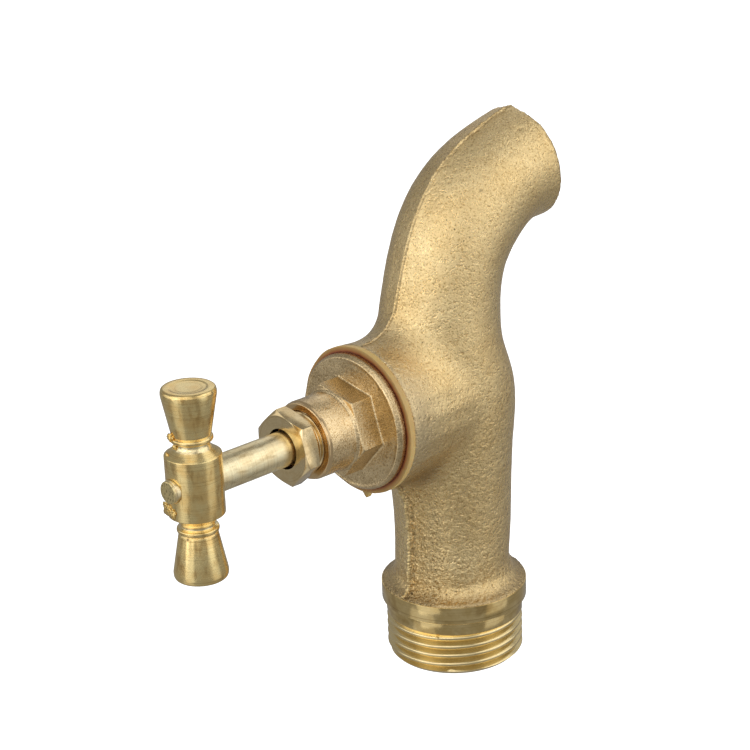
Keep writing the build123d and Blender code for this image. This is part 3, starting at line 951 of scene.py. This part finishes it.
bonnet_brass.set(
    Base_Color=bonnet_brass.blend(turned_rim, cast_tone, (0.8, 0.57, 0.3)),
    Metallic=1.0,
    Roughness=bonnet_brass.blend(turned_rim, cast_roughness, (0.2, 0.2, 0.2)),
)
bonnet_brass.bump(
    (bonnet_brass.product(bonnet_grains, cast_skin), 0.1 * mm),
    (bonnet_brass.product(bonnet_rings, turned_rim), 0.012 * mm),
)
finished(bonnet, "bonnet_head", "tap_body", "bonnet", bonnet_brass.material)

shank = turned(
    (
        (drive_bore, shank_bottom, 0.2 * mm),
        (shank_root, shank_bottom, 0.2 * mm),
        (shank_root, boss_top, 0),
        (shank_crest, boss_top, 0.1 * mm),
        (shank_crest, gasket_top, 0),
        (drive_bore, gasket_top, 0),
    ),
    ring=True,
)
add_thread(
    shank, shank_root, shank_crest, shank_pitch, shank_bottom + 0.2 * mm, boss_top + 0.1 * mm
)
on_valve_axis(shank)
shank_brass = turned_brass(
    "shank_brass", (0.85, 0.64, 0.33), (0.76, 0.54, 0.26), False, (0, valve_y)
)
finished(shank, "bonnet_shank", "tap_body", "bonnet", shank_brass, 40)


# Packing: inside the neck lie a brass washer, two soft rings that grip the spindle, and the brass
# follower that the gland nut presses on them.
packing_outer = 7.0 * mm
ring_inner = 4.05 * mm
brass_ring = 1.0 * mm
soft_ring = 1.5 * mm
lower_ring = packing_floor + brass_ring
upper_ring = lower_ring + soft_ring
follower_bottom = upper_ring + soft_ring


def packing_piece(name, bottom, thickness, softness, material):
    """A ring between the spindle and the wall of the packing's bore."""
    outline = (
        (ring_inner, bottom, softness),
        (packing_outer, bottom, softness),
        (packing_outer, bottom + thickness, softness),
        (ring_inner, bottom + thickness, softness),
    )
    ring = on_valve_axis(turned(outline, steps=96, ring=True))
    finished(ring, name, "tap_body", name, material, 50)


ring_brass = turned_brass("ring_brass", (0.86, 0.66, 0.34), (0.78, 0.56, 0.27), False, (0, valve_y))
packing_cord = Finish("packing_cord")
packing_weave = packing_cord.noise(0.5 * mm, 3, 0.7)
packing_cord.set(
    Base_Color=packing_cord.ramp(
        packing_weave, (0.35, (0.55, 0.53, 0.48)), (0.65, (0.78, 0.76, 0.7))
    ),
    Roughness=0.75,
)
packing_cord.bump((packing_weave, 0.08 * mm))
soft_cord = packing_cord.material
packing_piece("packing_washer", packing_floor, brass_ring, 0.12 * mm, ring_brass)
packing_piece("packing_ring_lower", lower_ring, soft_ring, 0.4 * mm, soft_cord)
packing_piece("packing_ring_upper", upper_ring, soft_ring, 0.4 * mm, soft_cord)
packing_piece("gland_follower", follower_bottom, brass_ring, 0.12 * mm, ring_brass)


# Gland nut: a small hexagon nut of bar brass, polished and chamfered on both faces. Its thread
# shows for two millimetres above the neck, and the spindle runs through it with room to spare.
nut_shank_bottom = 44.5 * mm
nut_bottom = 48.4 * mm
nut_top = 52.3 * mm
nut_flats = 15.5 * mm
nut_turn = math.radians(43.5)
nut_bore = 4.7 * mm
nut_crest = 6.98 * mm
nut_root = 6.5 * mm
nut_pitch = 1.0 * mm
nut_collar = 7.3 * mm


def chamfered_nut(flats, turn, bottom, top, bore, face_radius, chamfer, softness):
    """A nut cut from hexagon bar: turned to a cone on both faces, bored, its edges eased."""
    corner = flats / 2 / math.cos(math.pi / 6) + 0.1 * mm
    cones = turned(
        (
            (bore, bottom, 0),
            (face_radius, bottom, 0),
            (corner, bottom + chamfer, 0),
            (corner, top - chamfer, 0),
            (face_radius, top, 0),
            (bore, top, 0),
        ),
        ring=True,
    )
    nut = carved(hexagon_bar(flats, turn, bottom - 1 * mm, top + 1 * mm), cones, "INTERSECT")
    bmesh.ops.dissolve_limit(
        nut, angle_limit=math.radians(1), verts=nut.verts, edges=nut.edges, delimit=set()
    )
    keen = [e for e in nut.edges if e.is_manifold and e.calc_face_angle() > math.radians(20)]
    bmesh.ops.bevel(
        nut,
        geom=keen,
        offset=softness,
        affect="EDGES",
        segments=2,
        profile=0.5,
        material=-1,
        clamp_overlap=True,
    )
    return nut


gland_nut = chamfered_nut(
    nut_flats, nut_turn, nut_bottom, nut_top, nut_bore, 7.72 * mm, 0.7 * mm, 0.07 * mm
)
nut_shank = turned(
    (
        (nut_bore, nut_shank_bottom, 0.15 * mm),
        (nut_root, nut_shank_bottom, 0.15 * mm),
        (nut_root, nut_bottom - 0.5 * mm, 0),
        (nut_collar, nut_bottom - 0.5 * mm, 0.12 * mm),
        (nut_collar, nut_bottom + 0.1 * mm, 0),
        (nut_bore, nut_bottom + 0.1 * mm, 0),
    ),
    ring=True,
)
add_thread(
    nut_shank,
    nut_root,
    nut_crest,
    nut_pitch,
    nut_shank_bottom + 0.1 * mm,
    nut_bottom - 0.45 * mm,
)
on_valve_axis(joined(gland_nut, nut_shank))
nut_brass = turned_brass(
    "nut_brass",
    (0.86, 0.68, 0.38),
    (0.78, 0.58, 0.29),
    False,
    (0, valve_y),
    lines=0.2,
    line_depth=0.002,
    rough=(0.14, 0.22),
)
finished(gland_nut, "gland_nut", "tap_body", "gland_nut", nut_brass, 30)


# Spindle: a bright turned rod with a coarse thread below, that lifts it as it turns. Its top end
# is a tenon, pushed through the handle and hammered over, so its end is scarred.
spindle_bottom = 10.0 * mm
drive_top = 30.5 * mm
drive_crest = 5.97 * mm
drive_root = 5.0 * mm
drive_pitch = 3.0 * mm
rod_radius = 4.0 * mm
tenon_seat = 72.3 * mm
tenon_radius = 2.4 * mm
barrel_top = 83.0 * mm
stub_radius = 2.6 * mm
stub_top = 84.2 * mm
socket_radius = 3.05 * mm
socket_top = 22.5 * mm

spindle = turned(
    (
        (0, stub_top - 0.08 * mm, 0),
        (1.3 * mm, stub_top - 0.02 * mm, 0),
        (stub_radius - 0.1 * mm, stub_top - 0.05 * mm, 0.15 * mm),
        (stub_radius, stub_top - 0.5 * mm, 0.1 * mm),
        (stub_radius - 0.16 * mm, stub_top - 0.62 * mm, 0.06 * mm),
        (stub_radius, stub_top - 0.75 * mm, 0.06 * mm),
        (stub_radius, barrel_top - 0.5 * mm, 0),
        (tenon_radius, barrel_top - 0.5 * mm, 0),
        (tenon_radius, tenon_seat, 0),
        (rod_radius, tenon_seat, 0.2 * mm),
        (rod_radius, drive_top, 0),
        (drive_root, drive_top, 0.2 * mm),
        (drive_root, spindle_bottom, 0.2 * mm),
        (socket_radius, spindle_bottom, 0.2 * mm),
        (socket_radius, socket_top, 0.2 * mm),
        (0, socket_top, 0),
    ),
    steps=96,
)
add_thread(
    spindle,
    drive_root,
    drive_crest,
    drive_pitch,
    spindle_bottom + 0.1 * mm,
    drive_top - 0.1 * mm,
)
scar_start = stub_top - 0.3 * mm
scar_depth = 0.1 * mm
end_faces = [f for f in spindle.faces if f.calc_center_median().z > scar_start]
end_edges = list({e for f in end_faces for e in f.edges})
bmesh.ops.subdivide_edges(spindle, edges=end_edges, cuts=3, use_grid_fill=True)
for vert in spindle.verts:
    if vert.co.z > scar_start:
        depth = (vert.co.z - scar_start) / (stub_top - scar_start)
        scar = noise.noise(Vector((vert.co.x * 3, vert.co.y * 0.8, 0)) / (0.9 * mm))
        scar += 0.6 * noise.noise(vert.co / (0.5 * mm))
        vert.co.z += depth * scar_depth * min(0, scar)
on_valve_axis(spindle)
spindle_brass = turned_brass(
    "spindle_brass",
    (1.0, 0.88, 0.56),
    (0.96, 0.79, 0.46),
    False,
    (0, valve_y),
    lines=0.12,
    line_depth=0.002,
    rough=(0.26, 0.36),
    worn_above=scar_start,
)
finished(spindle, "spindle", "spindle", "spindle", spindle_brass, 40)


# Tee handle: one bar, turned to a barrel with a collar, a bead and a cone on either side. It is
# drilled across for the spindle's tenon, and a few crumbs from that work still cling to it.
handle_height = 76.8 * mm
barrel_radius = 6.2 * mm
barrel_end = 6.9 * mm
collar_start = 8.3 * mm
collar_radius = 3.7 * mm
bead_start = 9.6 * mm
bead_end = 11.2 * mm
bead_radius = 4.65 * mm
cone_root = 4.3 * mm
cone_end = 6.05 * mm
handle_end = 21.8 * mm
dish_radius = 4.2 * mm

arm = [
    (0, handle_end - 0.2 * mm, 0),
    (2.9 * mm, handle_end - 0.2 * mm, 0.1 * mm),
    (3.1 * mm, handle_end - 0.17 * mm, 0.1 * mm),
    (dish_radius - 0.4 * mm, handle_end - 0.16 * mm, 0.2 * mm),
    (dish_radius, handle_end - 0.03 * mm, 0.2 * mm),
    (cone_end - 0.25 * mm, handle_end, 0.55 * mm),
    (cone_end, handle_end - 1.3 * mm, 0.5 * mm),
    (cone_root, bead_end + 0.15 * mm, 0.1 * mm),
    (cone_root - 0.25 * mm, bead_end - 0.1 * mm, 0.08 * mm),
    (bead_radius - 0.1 * mm, bead_end - 0.35 * mm, 0.2 * mm),
    (bead_radius, (bead_start + bead_end) / 2, 0.25 * mm),
    (bead_radius - 0.1 * mm, bead_start + 0.35 * mm, 0.2 * mm),
    (collar_radius, bead_start, 0.1 * mm),
    (collar_radius, collar_start + 0.3 * mm, 0.7 * mm),
    (barrel_radius - 0.7 * mm, barrel_end + 0.35 * mm, 0.3 * mm),
    (barrel_radius, barrel_end - 0.1 * mm, 0.12 * mm),
]
other_arm = [(radius, -height, soft) for radius, height, soft in reversed(arm)]
handle = turned(arm + other_arm, steps=128)
lay_along_y(handle, handle_height, valve_y)
for radius, bottom, top in (
    (rod_radius + 0.02 * mm, handle_height - 8 * mm, tenon_seat),
    (tenon_radius + 0.02 * mm, tenon_seat - 1 * mm, barrel_top - 0.52 * mm),
    (stub_radius + 0.12 * mm, barrel_top - 0.53 * mm, barrel_top + 1 * mm),
):
    drill = turned(((0, bottom, 0), (radius, bottom, 0), (radius, top, 0), (0, top, 0)), steps=64)
    handle = carved(handle, on_valve_axis(drill))
handle_pits = [Vector((-1.43, -42.63, 80.91)) * mm, Vector((2.67, -61.43, 81.52)) * mm]
handle_brass = turned_brass(
    "handle_brass",
    (1.0, 0.79, 0.365),
    (0.95, 0.67, 0.265),
    True,
    (0, handle_height),
    lines=0.24,
    line_depth=0.01,
    rough=(0.18, 0.28),
    pits=handle_pits,
    painted_light_past=barrel_end + 0.4 * mm,
)
finished(handle, "tee_handle", "spindle", "tee_handle", handle_brass, 35)

burrs = bmesh.new()
for place, size, seed in (
    ((1.5, -49.3, 83.0), (1.7, 1.1, 0.35), 1),
    ((0.2, -48.8, 83.1), (0.8, 1.2, 0.3), 5),
    ((2.6, -50.3, 82.9), (0.9, 0.6, 0.4), 14),
    ((1.7, -65.3, 81.2), (0.9, 0.9, 0.5), 9),
    ((0.9, -63.2, 80.8), (0.6, 0.6, 0.35), 12),
    ((2.4, -61.4, 81.8), (0.5, 0.45, 0.3), 17),
):
    add_crumb(burrs, Vector(place) * mm, Vector(size) * mm, seed)
burr_brass = Finish("burr_brass")
burr_grains = burr_brass.noise(0.4 * mm, 2, 0.6)
burr_brass.set(
    Base_Color=burr_brass.ramp(
        burr_grains, (0.35, (0.75, 0.44, 0.1)), (0.6, (0.98, 0.74, 0.3))
    ),
    Metallic=1.0,
    Roughness=0.28,
)
burr_brass.bump((burr_grains, 0.2 * mm))
finished(burrs, "handle_burrs", "spindle", "tee_handle", burr_brass.material)


# Jumper: a turned plate that carries the seat washer. Its stem stands in the spindle's socket, and
# its stud holds the washer and the nut.
plate_bottom = 7.5 * mm
plate_top = 10.0 * mm
jumper_radius = 9.0 * mm
stem_radius = 3.0 * mm
stem_top = 22.0 * mm
stud_radius = 1.98 * mm
stud_root = 1.65 * mm
stud_bottom = 1.0 * mm
stud_pitch = 0.7 * mm

jumper = turned(
    (
        (0, stud_bottom, 0),
        (stud_root, stud_bottom, 0.2 * mm),
        (stud_root, plate_bottom, 0),
        (jumper_radius, plate_bottom, 0.15 * mm),
        (jumper_radius, plate_top, 0.5 * mm),
        (stem_radius, plate_top, 0.2 * mm),
        (stem_radius, stem_top, 0.5 * mm),
        (0, stem_top, 0),
    ),
    steps=96,
)
add_thread(
    jumper,
    stud_root,
    stud_radius,
    stud_pitch,
    stud_bottom + 0.1 * mm,
    plate_bottom - 0.1 * mm,
    steps=36,
)
finished(on_valve_axis(jumper), "jumper", "valve", "jumper", ring_brass, 40)


# Seat washer: a black rubber disc that shuts the tap, pressed a little by its seat.
seat_height = 4.0 * mm
seat_washer_radius = 8.8 * mm
stud_hole = 2.05 * mm

washer = turned(
    (
        (stud_hole, seat_height, 0.2 * mm),
        (seat_washer_radius, seat_height, 0.4 * mm),
        (seat_washer_radius, plate_bottom, 0.3 * mm),
        (stud_hole, plate_bottom, 0.2 * mm),
    ),
    ring=True,
)
seat_rubber = Finish("seat_rubber")
rubber_specks = seat_rubber.noise(0.3 * mm, 3)
seat_rubber.set(
    Base_Color=seat_rubber.ramp(
        rubber_specks, (0.35, (0.012, 0.012, 0.013)), (0.65, (0.035, 0.034, 0.033))
    ),
    Roughness=0.6,
)
seat_rubber.bump((rubber_specks, 0.03 * mm))
on_valve_axis(washer)
finished(washer, "seat_washer", "valve", "seat_washer", seat_rubber.material, 50)


# Washer nut: a small brass nut on the jumper's stud, inside the bore of the seat.
small_nut_flats = 7.0 * mm
small_nut_bottom = 1.6 * mm

washer_nut = chamfered_nut(
    small_nut_flats, 0, small_nut_bottom, seat_height, stud_hole, 3.4 * mm, 0.4 * mm, 0.04 * mm
)
on_valve_axis(washer_nut)
finished(washer_nut, "washer_nut", "valve", "washer_nut", ring_brass, 30)
